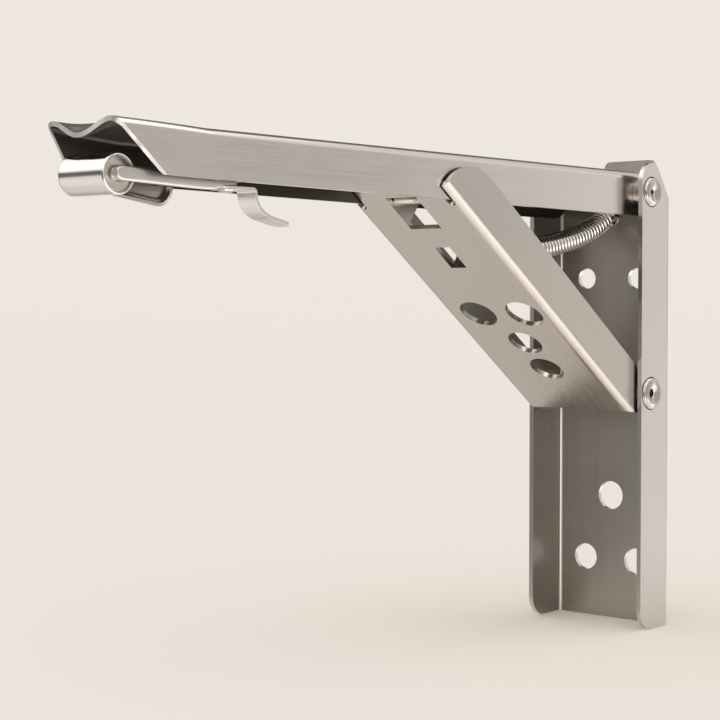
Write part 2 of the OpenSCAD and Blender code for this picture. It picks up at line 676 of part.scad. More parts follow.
// Two shouldered studs riveted to the arm's top, on which the latch bar slides
module latch_guide_studs() {
    // The rear stud has a neck below its head, on which the latch spring hooks
    ends = [[[guide_neck_d/2, bar_low - guide_fit - 1.2], [guide_neck_d/2, bar_low - guide_hang - 1.2],
             [guide_neck_d/2 + 0.9, bar_low - guide_hang - 1.4],
             [guide_neck_d/2 + 0.9, bar_low - guide_hang - 2], [0, bar_low - guide_hang - 2]],
            [[guide_neck_d/2, bar_low - guide_fit - 1.2], [0, bar_low - guide_fit - 1.2]]];
    color(bright) for (i = [0, 1]) translate([0, -guide_at[i], 0]) rotate_extrude() polygon(concat([
        [0, arm_top - 0.05], [guide_neck_d/2, arm_top - 0.05], [guide_neck_d/2, arm_under],
        [guide_d/2, arm_under], [guide_d/2, bar_low - guide_fit], [guide_head_d/2, bar_low - guide_fit],
        [guide_head_d/2, bar_low - guide_fit - 1]], ends[i]));
}

module latch_spring() {
    r = (latch_spring_d - latch_wire_d)/2;
    y0 = -guide_at[0] - 5;
    y1 = -latch_tab_at + 4;
    steps = latch_spring_turns*8;
    z = latch_spring_z;
    coil = [for (i = [0:steps]) let(a = 360*i/8 + 90)
        [r*cos(a), y0 + (y1 - y0)*i/steps, z + r*sin(a)]];
    loop_r = guide_neck_d/2 + latch_wire_d/2 + 0.1;
    first = [for (a = [0:45:225]) [loop_r*sin(a), -guide_at[0] + loop_r*cos(a), z]];
    last = [[0, y1 - 1.5, z + r/2], [0, y1 - 3, z], [0, -latch_tab_at - 1.6, z], [0, -latch_tab_at - 2.4, z + 1]];
    path = concat(first, coil, last);
    sides = concat([for (p = first) [0, 0, 1]], [for (p = coil) [0, 1, 0]], [for (p = last) [1, 0, 0]]);
    color(spring_grey) wire(path, sides, latch_wire_d);
}

// Round at the grip and bent back, then hammered to an upright strip, then flat under the bar's lip
module pull_rod() {
    far_x = grip_near - grip_len + cap_t;
    bend_x = rod_x - rod_bend;
    y0 = grip_y + rod_bend;
    rear_h = 3;
    eye_r = latch_head_d/2 + 0.4;
    color(bright) {
        bar_x(rod_d, bend_x - far_x, [(bend_x + far_x)/2, grip_y, grip_z]);
        translate([bend_x, y0, grip_z]) rotate([0, 0, -90]) rotate_extrude(angle = 90)
            translate([rod_bend, 0]) circle(d = rod_d);
        bar_y(rod_d, y0 + 3, y0, rod_x, grip_z);
        across_at(rod_x, rod_flat) polygon([
            [y0 + 1, grip_z - rod_r], [y0 + 6, grip_z - rod_tall/2], [-rod_end, rod_z - rear_h/2],
            [-rod_end, rod_z + rear_h/2], [y0 + 6, grip_z + rod_tall/2], [y0 + 1, grip_z + rod_r]]);
        difference() {
            translate([0, 0, rod_z - flat_t/2]) linear_extrude(flat_t) {
                translate([rivet_x, -latch_rivet_out]) circle(eye_r);
                polygon([[rod_x - rod_flat/2, -rod_end - 0.5], [rod_x + rod_flat/2, -rod_end - 0.5],
                         [rivet_x + 0.9*eye_r, -latch_rivet_out - 1], [rivet_x - 0.9*eye_r, -latch_rivet_out - 1]]);
            }
            translate([rivet_x, -latch_rivet_out, rod_z - flat_t]) cylinder(d = latch_rivet_d, h = 2*flat_t);
        }
    }
}

// Places a solid of revolution that is drawn with the barrel's near end at z = 0
module on_grip() {
    translate([grip_near, grip_y, grip_z]) rotate([0, 90, 0]) children();
}

module grip_barrel() {
    far = cap_t - grip_len;
    color(bright) on_grip() rotate_extrude() polygon([[rod_r + 0.02, far], [grip_r - 0.8, far],
        [grip_r, far + 0.9], [grip_r, -0.3], [grip_r - 0.3, 0], [grip_r - rim_t, 0],
        [grip_r - rim_t, -cap_in - cap_t], [rod_r + 0.02, -cap_in - cap_t]]);
}

// Caps of the barrel's two ends: the near one is a disc sunk in the rim, with the rod's hole
module grip_caps() {
    disc_r = grip_r - rim_t - 0.02;
    color(bright) on_grip() {
        translate([0, 0, -cap_in - cap_t + 0.02]) rotate_extrude() polygon([[rod_r + 0.02, 0], [disc_r, 0],
            [disc_r, cap_t - 0.2], [disc_r - 0.2, cap_t - 0.02], [rod_r + 0.02, cap_t - 0.02]]);
        translate([0, 0, cap_t - grip_len]) mirror([0, 0, 1]) rotate_extrude() polygon([[0, 0],
            [grip_r - 0.8, 0], [grip_r - 1.4, cap_t - 0.25], [grip_r - 2.4, cap_t], [0, cap_t]]);
    }
}

// Thumb paddle behind the barrel: an upright sheet, curled at its lower edge towards the near side
module thumb_paddle() {
    thick = 1.3;
    curl_r = 4.5;
    wall_x = -5.3;
    tilt = 7.8;
    low = 3.9;
    high = 3.2;
    end_r = 4.6;
    length = -grip_y - fold_reach - strut_len - 3.9;
    color(strut_grey) difference() {
        translate([wall_x, grip_y, grip_z]) rotate([-tilt, 0, 0]) intersection() {
            rotate([-90, 0, 0]) linear_extrude(length) union() {
                translate([0, -high]) square([thick, high + low - curl_r]);
                intersection() {
                    translate([curl_r, low - curl_r]) ring(curl_r, thick);
                    translate([0, low - curl_r - eps]) square([curl_r + 1.2, curl_r + 1]);
                }
            }
            across(80) {
                translate([0, -low - 1]) square([length - end_r, low + high + 2]);
                translate([length - end_r - 1, -low + end_r]) square([end_r + 1, low + high - end_r]);
                translate([length - end_r, -low + end_r]) circle(end_r);
            }
        }
        bar_x(grip_d + 0.04, 3*grip_len, [0, grip_y, grip_z]);
    }
}

module latch_rivet() {
    r = latch_rivet_d/2;
    h = latch_head_d/2;
    low = leaf_top - leaf_t;
    color(bright) translate([rivet_x, -latch_rivet_out, 0]) rotate_extrude() polygon([
        [0, lip_top + latch_head_h], [0.6*h, lip_top + latch_head_h], [h, lip_top + 0.3], [h, lip_top],
        [r, lip_top], [r, low], [h, low], [h, low - 0.3], [0.6*h, low - latch_head_h], [0, low - latch_head_h]]);
}

// Outline of a strip of sheet t thick along a list of points in its middle
function ribbon(path, t) = let(n = len(path) - 1, side = [for (i = [0:n])
    let(d = unit(path[min(i + 1, n)] - path[max(i - 1, 0)])) t/2*[-d[1], d[0]]])
    concat([for (i = [0:n]) path[i] + side[i]], [for (i = [n:-1:0]) path[i] - side[i]]);

// Sprung leaf under the lip: flat root, then a hook for a finger
module finger_leaf() {
    turn_r = 1.2;
    z = leaf_top - leaf_t/2;
    hang = lip_rear - 0.9;
    tip_y = 17.4 - hang;
    a = [-hang, z - turn_r];
    b = [-hang, leaf_top - 0.49*leaf_drop];
    c = [2.9 - hang, leaf_top - leaf_drop + 3.4];
    d = [7.7 - hang, leaf_top - leaf_drop + 2.1];
    path = concat([[-latch_rivet_out - 4.5, z]],
        [for (i = [0:4]) [-hang - turn_r + turn_r*sin(22.5*i), z - turn_r + turn_r*cos(22.5*i)]],
        [for (i = [1:12]) let(t = i/12, q = 1 - t) q*q*q*a + 3*q*q*t*b + 3*q*t*t*c + t*t*t*d],
        [[tip_y, leaf_top - leaf_drop]]);
    color(bright) difference() {
        across_at(lip_mid, leaf_w) polygon(ribbon(path, leaf_t));
        translate([rivet_x, -latch_rivet_out, leaf_top - 2*leaf_t]) cylinder(d = latch_rivet_d, h = 3*leaf_t);
        // Slanted corners of the tip
        for (s = [-1, 1]) translate([lip_mid + s*leaf_w/2, tip_y, leaf_top - leaf_drop])
            rotate([0, 0, 45]) cube([2.6, 2.6, 8], center = true);
    }
}

module across_at(x, w) {
    translate([x, 0, 0]) across(w) children();
}

module ring(r, t) {
    difference() {
        circle(r);
        circle(r - t);
    }
}

wall_plate();
arm();
strut();
arm_pivot_rivet();
strut_pivot_rivets();
arm_pivot_spacers();
strut_pivot_washers();
spring_stud();
assist_spring();
catch_pin();
latch_bar();
latch_guide_studs();
latch_spring();
pull_rod();
grip_barrel();
grip_caps();
thumb_paddle();
latch_rivet();
finger_leaf();
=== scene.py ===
from math import atan2, cos, hypot, pi, radians, sin

import bmesh
import bpy
from mathutils import Matrix, Vector


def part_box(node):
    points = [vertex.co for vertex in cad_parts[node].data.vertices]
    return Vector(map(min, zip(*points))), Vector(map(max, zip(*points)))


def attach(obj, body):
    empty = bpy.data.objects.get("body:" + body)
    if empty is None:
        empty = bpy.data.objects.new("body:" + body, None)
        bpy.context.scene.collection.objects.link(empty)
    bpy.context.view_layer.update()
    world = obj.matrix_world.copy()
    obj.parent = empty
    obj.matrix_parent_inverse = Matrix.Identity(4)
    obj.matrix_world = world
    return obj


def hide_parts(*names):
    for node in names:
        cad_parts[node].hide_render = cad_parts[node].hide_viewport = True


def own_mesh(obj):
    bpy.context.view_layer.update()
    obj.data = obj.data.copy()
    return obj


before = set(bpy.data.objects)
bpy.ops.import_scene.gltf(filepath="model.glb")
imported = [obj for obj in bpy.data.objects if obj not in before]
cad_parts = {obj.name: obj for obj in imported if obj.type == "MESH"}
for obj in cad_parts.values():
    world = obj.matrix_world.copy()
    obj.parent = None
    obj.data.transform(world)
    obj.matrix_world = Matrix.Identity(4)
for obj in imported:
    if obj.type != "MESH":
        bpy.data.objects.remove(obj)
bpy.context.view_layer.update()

# Camera: a long lens a little below the arm, 41 degrees round from the bracket's front. The place
# and angle come from the photograph's own vanishing lines, so the frame is the photograph's.
camera = bpy.data.objects.new("camera", bpy.data.cameras.new("camera"))
camera.data.lens = 88
camera.data.sensor_width = 36
camera.location = (0.42658, -0.66699, -0.00933)
camera.rotation_euler = (radians(90 - 1.97), 0, radians(40.81))
bpy.context.scene.collection.objects.link(camera)
bpy.context.scene.camera = camera
bpy.context.scene.view_settings.view_transform = "Standard"


# Studio: a warm pale room that every ray sees, dark on the left at the bracket's height, and plain
# behind it. Its ramps run by height, from straight down to straight up, or by the heading.
world = bpy.data.worlds.new("studio")
bpy.context.scene.world = world
world.use_nodes = True
tree = world.node_tree
tree.nodes.clear()


def node(tree, kind, inputs=(), **settings):
    """Adds a node, sets its options, and then its inputs by socket name or number."""
    made = tree.nodes.new(kind)
    for name, value in settings.items():
        setattr(made, name, value)
    for name, value in dict(inputs).items():
        if isinstance(value, bpy.types.NodeSocket):
            tree.links.new(value, made.inputs[name])
        else:
            made.inputs[name].default_value = value
    return made


def ramp(tree, factor, stops):
    """A colour ramp through (place, grey or colour) stops."""
    made = node(tree, "ShaderNodeValToRGB", {0: factor})
    points = made.color_ramp.elements
    while len(points) < len(stops):
        points.new(0.5)
    for point, (place, colour) in zip(points, stops):
        point.position = place
        point.color = (*colour, 1) if isinstance(colour, tuple) else (colour, colour, colour, 1)
    return made.outputs[0]


def maths(tree, operation, a, b=0.0, c=0.0):
    return node(tree, "ShaderNodeMath", {0: a, 1: b, 2: c}, operation=operation).outputs[0]


def mixed(tree, amount, a, b, blend="MIX"):
    """Blends two colours. The node's colour sockets are inputs 6 and 7 and output 2."""
    return node(tree, "ShaderNodeMix", {0: amount, 6: a, 7: b}, data_type="RGBA", blend_type=blend).outputs[2]


way = node(tree, "ShaderNodeTexCoord").outputs["Generated"]
split = node(tree, "ShaderNodeSeparateXYZ", {0: way})
up = maths(tree, "MULTIPLY_ADD", split.outputs["Z"], 0.5, 0.5)
heading = maths(tree, "ARCTAN2", split.outputs["Y"], split.outputs["X"])
turn = maths(tree, "MULTIPLY_ADD", heading, 1 / (2 * pi), 0.5)
left = ramp(tree, up, [(0, 0.70), (0.10, 0.45), (0.17, 0.42), (0.24, 0.34), (0.34, 0.08), (0.43, 0.11),
                       (0.50, 0.12), (0.56, 0.20), (0.63, 0.5), (0.72, 0.9), (0.85, 0.62), (1, 0.5)])
right = ramp(tree, up, [(0, 0.72), (0.12, 1.0), (0.25, 1.0), (0.36, 0.36), (0.5, 0.30), (0.68, 0.31),
                        (0.82, 0.33), (0.88, 0.8), (0.93, 0.8), (1, 0.4)])
back = ramp(tree, up, [(0, 0.55), (0.12, 0.38), (0.28, 0.22), (0.38, 0.3), (0.6, 0.06), (0.84, 0.06),
                       (0.92, 0.5), (1, 0.5)])
# The strip of the room that the grip's barrel shows, with a narrow dark line across it.
by_grip = ramp(tree, up, [(0.1, 0.45), (0.33, 0.5), (0.42, 0.45), (0.48, 0.10), (0.57, 0.07), (0.63, 0.6),
                          (0.72, 0.95), (1, 0.5)])
left = mixed(tree, ramp(tree, turn, [(0.03, 0), (0.07, 1), (0.118, 1), (0.14, 0)]), left, by_grip)
on_right = ramp(tree, turn, [(0.25, 0), (0.35, 1), (0.74, 1), (0.78, 0)])
on_back = ramp(tree, turn, [(0.745, 0), (0.775, 1), (0.93, 1), (0.99, 0)])
along = ramp(tree, turn, [(0.33, 0.5), (0.36, 1.0), (0.41, 1.0), (0.45, 0.52), (0.60, 0.52), (0.622, 0.55),
                          (0.6306, 0.42), (0.6417, 0.47), (0.653, 0.68), (0.664, 0.95), (0.70, 0.6)])
room = mixed(tree, on_back, mixed(tree, on_right, left, mixed(tree, 1.0, right, along, "MULTIPLY")), back)
plain, lifted, warmth = (2.0, 2.0, 2.0, 1), (4.0, 4.0, 4.0, 1), (1.0, 0.955, 0.905, 1)
gain = mixed(tree, on_back, mixed(tree, on_right, plain, lifted), plain)
room = mixed(tree, 1.0, mixed(tree, 1.0, room, gain, "MULTIPLY"), warmth, "MULTIPLY")
behind = maths(tree, "MULTIPLY", ramp(tree, turn, [(0.79, 0), (0.815, 1), (0.905, 1), (0.93, 0)]),
               ramp(tree, up, [(0.30, 0), (0.35, 1), (0.60, 1), (0.63, 0)]))
backdrop = ramp(tree, up, [(0.42, (0.835, 0.775, 0.715)), (0.47, (0.845, 0.785, 0.725)),
                           (0.56, (0.86, 0.805, 0.75))])
studio = node(tree, "ShaderNodeBackground", {0: mixed(tree, behind, room, backdrop), 1: 1.0})
node(tree, "ShaderNodeOutputWorld", {0: studio.outputs[0]})

for name, place, aim, size, power in [
    ("lamp_left", (-0.45, -0.7, 1.25), (0, -0.12, 0), 0.9, 1.2),
    ("lamp_top", (0.3, 0.1, 0.95), (0, -0.1, -0.1), 0.7, 0.7),
]:
    lamp = bpy.data.objects.new(name, bpy.data.lights.new(name, "AREA"))
    lamp.data.size = size
    lamp.data.energy = power
    lamp.data.color = (1, 0.97, 0.94)
    lamp.location = place
    lamp.rotation_euler = (Vector(aim) - Vector(place)).to_track_quat("-Z", "Y").to_euler()
    bpy.context.scene.collection.objects.link(lamp)


# Floor: a pale sheet that the plate's foot stands on. It is thin to look through and fades out within 250 mm of
# the foot, so that it keeps the soft shadow and hides little when the arm hangs. Its colour is set a little
# dark, so that where it shows round the foot it also paints a soft shade, besides the lamps' shadow.
floor_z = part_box("wall_plate")[0].z - 0.0002
floor_half, fade_reach = 0.3, 0.25


def material(name):
    made = bpy.data.materials.new(name)
    made.use_nodes = True
    made.node_tree.nodes.clear()
    return made


floor_finish = material("pale_floor")
tree = floor_finish.node_tree
here = node(tree, "ShaderNodeTexCoord").outputs["Object"]
offset = node(tree, "ShaderNodeVectorMath", {0: here, 1: (-0.01, -0.012, floor_z)}, operation="SUBTRACT")
far = node(tree, "ShaderNodeVectorMath", {0: offset.outputs[0]}, operation="LENGTH").outputs["Value"]
fade = ramp(tree, maths(tree, "DIVIDE", far, fade_reach), [(0.05, 0.85), (0.35, 0.5), (1, 0)])
# A little dark: with the fade it paints a soft shade round the foot.
pale = node(tree, "ShaderNodeBsdfDiffuse", {0: (0.69, 0.64, 0.59, 1)})
clear = node(tree, "ShaderNodeBsdfTransparent")
cover = node(tree, "ShaderNodeMixShader", {0: fade, 1: clear.outputs[0], 2: pale.outputs[0]})
node(tree, "ShaderNodeOutputMaterial", {0: cover.outputs[0]})
mesh = bpy.data.meshes.new("floor")
mesh.from_pydata([(x * floor_half, y * floor_half, floor_z) for x, y in [(-1, -1), (1, -1), (1, 1), (-1, 1)]],
                 [], [(0, 1, 2, 3)])
floor = bpy.data.objects.new("floor", mesh)
mesh.materials.append(floor_finish)
bpy.context.scene.collection.objects.link(floor)


# Wall plate: one channel of 2 mm stainless sheet with two ears, blanked, pierced and bent. Its edges are
# tumbled round and, with its inner bends, given a lighter steel, a painted highlight, and the grain of the
# brushing runs up and down. Inside the channel its back and its sides' inner faces get darker steels, painted
# shade.
def grain_group():
    """Brushed steel: streaks along Y of the vector, a slow cloud, and a few longer scratches."""
    group = bpy.data.node_groups.new("steel_grain", "ShaderNodeTree")
    for name, kind in [("Vector", "NodeSocketVector"), ("Steel", "NodeSocketColor"),
                       ("Shade", "NodeSocketFloat"), ("Gloss", "NodeSocketFloat"),
                       ("Density", "NodeSocketFloat"), ("Cloud", "NodeSocketFloat")]:
        group.interface.new_socket(name=name, in_out="INPUT", socket_type=kind)
    for name, kind in [("Color", "NodeSocketColor"), ("Roughness", "NodeSocketFloat"),
                       ("Height", "NodeSocketFloat")]:
        group.interface.new_socket(name=name, in_out="OUTPUT", socket_type=kind)
    given = node(group, "NodeGroupInput")
    stretched = node(group, "ShaderNodeVectorMath", {0: given.outputs["Vector"], 1: (1, 0.012, 1)},
                     operation="MULTIPLY")
    fine = node(group, "ShaderNodeTexNoise", {"Vector": stretched.outputs[0], "Scale": given.outputs["Density"],
                                              "Detail": 3.0, "Roughness": 0.6})
    longer = node(group, "ShaderNodeVectorMath", {0: given.outputs["Vector"], 1: (1, 0.05, 1)},
                  operation="MULTIPLY")
    coarse = node(group, "ShaderNodeTexNoise", {"Vector": longer.outputs[0], "Scale": 260.0, "Detail": 2.0})
    cloud = node(group, "ShaderNodeTexNoise", {"Vector": given.outputs["Vector"], "Scale": 24.0,
                                               "Detail": 3.0})
    scratches = maths(group, "MULTIPLY", coarse.outputs[0], 0.35)
    streaks = maths(group, "MULTIPLY_ADD", fine.outputs[0], 0.65, scratches)
    centred = maths(group, "SUBTRACT", streaks, 0.5)
    wander = maths(group, "MULTIPLY", maths(group, "SUBTRACT", cloud.outputs[0], 0.5), given.outputs["Cloud"])
    tone = maths(group, "ADD", maths(group, "MULTIPLY_ADD", centred, given.outputs["Shade"], 1.0), wander)
    toned = node(group, "ShaderNodeVectorMath", {0: given.outputs["Steel"], 3: tone}, operation="SCALE")
    gloss = maths(group, "ADD", maths(group, "MULTIPLY_ADD", centred, 0.14, given.outputs["Gloss"]), wander)
    node(group, "NodeGroupOutput", {"Color": toned.outputs[0], "Roughness": gloss, "Height": streaks})
    return group


steel_grain = grain_group()


def steel(name, colour, gloss, shade, density=1500.0, turn=(0, 0, 0), scale=(1, 1, 1), cloud=0.08,
          relief=0.00002):
    """A steel whose grain runs along the row's Y after the turn, which is in degrees."""
    made = material(name)
    tree = made.node_tree
    here = node(tree, "ShaderNodeTexCoord").outputs["Object"]
    along = node(tree, "ShaderNodeMapping", {"Vector": here, "Rotation": [radians(a) for a in turn],
                                             "Scale": scale})
    grain = node(tree, "ShaderNodeGroup", node_tree=steel_grain)
    tree.links.new(along.outputs[0], grain.inputs["Vector"])
    for socket, value in [("Steel", (*colour, 1)), ("Shade", shade), ("Gloss", gloss),
                          ("Density", density), ("Cloud", cloud)]:
        grain.inputs[socket].default_value = value
    bump = node(tree, "ShaderNodeBump", {"Strength": 0.25, "Distance": relief,
                                         "Height": grain.outputs["Height"]})
    surface = node(tree, "ShaderNodeBsdfPrincipled", {"Base Color": grain.outputs["Color"], "Metallic": 1.0,
                   "Roughness": grain.outputs["Roughness"], "Normal": bump.outputs[0]})
    node(tree, "ShaderNodeOutputMaterial", {0: surface.outputs[0]})
    return made


def finished(name, mesh, finishes, body, stands_for, edge=0.0, sharp=35, wall=0.0):
    """Puts a mesh in the scene as a piece on a body, in place of the CAD nodes that it stands for.
    An open skin gets a wall. Edges sharper than sharp degrees are rounded, in the second finish, which is the
    lighter edge steel, a painted highlight."""
    for finish in finishes:
        mesh.materials.append(finish)
    for face in mesh.polygons:
        face.use_smooth = True
    made = bpy.data.objects.new(name, mesh)
    bpy.context.scene.collection.objects.link(made)
    if wall:
        sheet = made.modifiers.new("sheet", "SOLIDIFY")
        sheet.thickness = wall
        sheet.offset = 0
    if edge:
        rounding = made.modifiers.new("edge", "BEVEL")
        rounding.width = edge
        rounding.segments = 2
        rounding.limit_method = "ANGLE"
        rounding.angle_limit = radians(sharp)
        rounding.use_clamp_overlap = True
        rounding.material = 1 if len(finishes) > 1 else -1
    even = made.modifiers.new("even", "WEIGHTED_NORMAL")
    even.keep_sharp = True
    final = bpy.data.meshes.new_from_object(made.evaluated_get(bpy.context.evaluated_depsgraph_get()))
    made.modifiers.clear()
    made.data = final
    final.name = name
    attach(made, body)
    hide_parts(*stands_for)
    return made


def merged(source, finish_at=None):
    """A bmesh of a CAD node's shape with its flat faces joined, each face with its finish's number."""
    shape = bmesh.new()
    shape.from_mesh(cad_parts[source].data)
    bmesh.ops.remove_doubles(shape, verts=shape.verts, dist=0.000004)
    bmesh.ops.dissolve_limit(shape, angle_limit=radians(0.4), verts=shape.verts, edges=shape.edges)
    for face in shape.faces:
        face.material_index = finish_at(face.calc_center_median(), face.normal) if finish_at else 0
    return shape


def as_mesh(shape, name):
    mesh = bpy.data.meshes.new(name)
    shape.to_mesh(mesh)
    shape.free()
    return mesh


def in_plate(centre, normal):
    """2 on the back's face inside the channel and 3 inside its sides, both painted shade, 1 inside its bends, a
    painted highlight, and 0 outside.
    """
    if centre.x * normal.x < -0.0245:
        return 3
    if 0.2 < abs(normal.x) < 0.97 and normal.y < -0.2 and centre.x * normal.x < 0:
        return 1
    return 2 if normal.y < -0.9 and centre.y > -0.008 else 0


# A lighter steel for rounded edges, inner bends and cut rims: a painted highlight.
painted_edge_highlight = steel("painted_edge_highlight", (0.90, 0.87, 0.835), 0.30, 0.08, cloud=0.03)
plate_steel = steel("plate_steel", (0.64, 0.61, 0.585), 0.25, 0.20, turn=(90, 0, 0))
# Darker steels for the back inside the channel and, darker still, the sides' inner faces: painted shade.
plate_inside_shade = steel("plate_inside_shade", (0.50, 0.465, 0.43), 0.33, 0.28, turn=(90, 0, 0), cloud=0.12)
plate_flank_shade = steel("plate_flank_shade", (0.30, 0.28, 0.255), 0.30, 0.3, turn=(90, 0, 0), cloud=0.1)
finished("plate_channel", as_mesh(merged("wall_plate", in_plate), "plate"),
         (plate_steel, painted_edge_highlight, plate_inside_shade, plate_flank_shade), "wall_side", ["wall_plate"],
         edge=0.00035)


# Pivot rivets: tubular rivets of polished steel. Each head is a flange with a raised ring, and its middle is
# set down to a cone round a small bore. The arm's goes through, the strut's are short. Each bore and a thin
# ring round each flange are near black, painted shade. The spacers and washers in the gaps are dark, painted
# shade, as the gaps are.
def turned(shape, profile, base, axis, steps=56):
    """Adds a closed solid of revolution from (radius, height) points, in mm, about an axis."""
    axis = Vector(axis).normalized()
    side = Vector((0, 0, 1)) if abs(axis.z) < 0.9 else Vector((0, 1, 0))
    other = axis.cross(side)
    rings = []
    for radius, height in profile:
        middle = Vector(base) + axis * height
        if radius < 1e-6:
            rings.append([shape.verts.new(middle * 0.001)])
            continue
        rings.append([shape.verts.new((middle + radius * (cos(2 * pi * i / steps) * side
                      + sin(2 * pi * i / steps) * other)) * 0.001) for i in range(steps)])
    for first, second in zip(rings, rings[1:]):
        for i in range(steps):
            corners = [first[i % len(first)], first[(i + 1) % len(first)],
                       second[(i + 1) % len(second)], second[i % len(second)]]
            corners = list(dict.fromkeys(corners))
            if len(corners) > 2:
                shape.faces.new(corners)
    bmesh.ops.recalc_face_normals(shape, faces=shape.faces)


def head(radius, bore, crown=1.8):
    """The half profile of a rivet's outer head, from its bore's floor out to the joint line."""
    return [(0, -1.4), (bore, -1.4), (bore, 0.15 * crown), (bore + 0.25, 0.3 * crown),
            (0.42 * radius, 0.62 * crown), (0.58 * radius, 0.86 * crown), (0.70 * radius, 0.95 * crown),
            (0.79 * radius, 0.86 * crown), (0.84 * radius, 0.62 * crown), (0.87 * radius, 0.60 * crown),
            (0.92 * radius, 0.70 * crown), (0.975 * radius, 0.55 * crown), (radius, 0.25 * crown),
            (radius, 0.06), (radius + 0.45, 0.05), (radius + 0.5, 0)]


def paint_bore_shade(shape, bore, height, flange):
    """Gives the second finish, a near black painted shade, to a rivet's bore and to the thin ring round its
    flange.
    """
    for face in shape.faces:
        at = face.calc_center_median() * 1000
        out = hypot(at.y - pivot_y, at.z - height)
        if (out < bore + 0.1 and abs(at.x) > plate_half - 2) or out > flange + 0.02:
            face.material_index = 1


plate_half, pivot_y, shank = 29, -16, 4.0
arm_pivot_z, arm_flange, arm_bore = 36.5, 6.0, 0.95
strut_pivot_z, strut_flange, strut_bore = -49.5, 6.6, 1.7
rivet_steel = steel("rivet_steel", (0.52, 0.495, 0.47), 0.12, 0.05, cloud=0.04, scale=(1, 20, 1))
# Near black steel for the bores and the rings round the heads: painted shade.
painted_bore_shade = steel("painted_bore_shade", (0.03, 0.028, 0.025), 0.5, 0.1)
rivets = bmesh.new()
for side in (1, -1):
    turned(rivets, head(arm_flange, arm_bore) + [(shank, 0), (shank, -28.9), (0, -28.9)],
           (side * plate_half, pivot_y, arm_pivot_z), (side, 0, 0))
paint_bore_shade(rivets, arm_bore, arm_pivot_z, arm_flange)
finished("arm_pivot_heads", as_mesh(rivets, "arm_rivet"), (rivet_steel, painted_bore_shade), "wall_side",
         ["arm_pivot_rivet"])
rivets = bmesh.new()
for side in (1, -1):
    turned(rivets, head(strut_flange, strut_bore) + [(shank, 0), (shank, -5.1), (5.2, -5.1), (5.2, -5.85),
           (0, -5.85)], (side * plate_half, pivot_y, strut_pivot_z), (side, 0, 0))
paint_bore_shade(rivets, strut_bore, strut_pivot_z, strut_flange)
finished("strut_pivot_heads", as_mesh(rivets, "strut_rivets"), (rivet_steel, painted_bore_shade), "wall_side",
         ["strut_pivot_rivets"])


def coated(name, finish):
    """Gives a CAD node that is shown as it is one finish."""
    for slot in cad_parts[name].material_slots:
        slot.material = finish


# The spacers and washers get the dark flank steel: painted shade of the gaps.
coated("arm_pivot_spacers", plate_flank_shade)
coated("strut_pivot_washers", plate_flank_shade)


# Spring stud: a shouldered pin of bright steel, riveted through the plate's back on a round foot.
# A neck behind its domed end holds the loop of the assist spring.
stud = bmesh.new()
turned(stud, [(0, 0.3), (1.4, 0.3), (1.4, 2.0), (3.9, 2.0), (4.0, 2.15), (4.0, 2.5), (3.7, 2.8), (2.3, 3.1),
              (2.0, 3.4), (2.0, 5.4), (1.8, 5.6), (1.4, 5.7), (1.4, 7.7), (1.7, 7.8), (1.95, 8.0), (1.98, 8.4),
              (1.8, 8.9), (1.3, 9.3), (0.7, 9.46), (0, 9.5)], (0, 0, 26.9), (0, -1, 0), steps=40)
finished("stud_pin", as_mesh(stud, "stud"), (rivet_steel,), "wall_side", ["spring_stud"])


# Strut: a channel of the same sheet, satin finished after bending, with four round holes, a
# window for the catch and a tab for the spring. Its grain runs along it. Its faces inside the channel get a
# darker steel, painted shade, and its rounded edges a painted highlight.
def in_strut(centre, normal):
    """2, a painted shade, on the faces that look into the strut's channel, and 0 elsewhere."""
    into = Vector((0, cos(radians(strut_slope)), sin(radians(strut_slope))))
    if abs(normal.x) > 0.7:
        return 2 if centre.x * normal.x < 0 and abs(centre.x) > 0.02 else 0
    return 2 if normal.dot(into) > 0.7 else 0


strut_slope = 54.5
strut_grain = (-90 - strut_slope, 0, 0)
strut_steel = steel("strut_steel", (0.55, 0.515, 0.475), 0.29, 0.13, turn=strut_grain, relief=0.000012)
strut_inside_shade = steel("strut_inside_shade", (0.44, 0.41, 0.385), 0.36, 0.2, turn=strut_grain)
finished("strut_channel", as_mesh(merged("strut", in_strut), "strut"), (strut_steel, painted_edge_highlight, strut_inside_shade),
         "strut_side", ["strut"], edge=0.00035)
coated("catch_pin", rivet_steel)
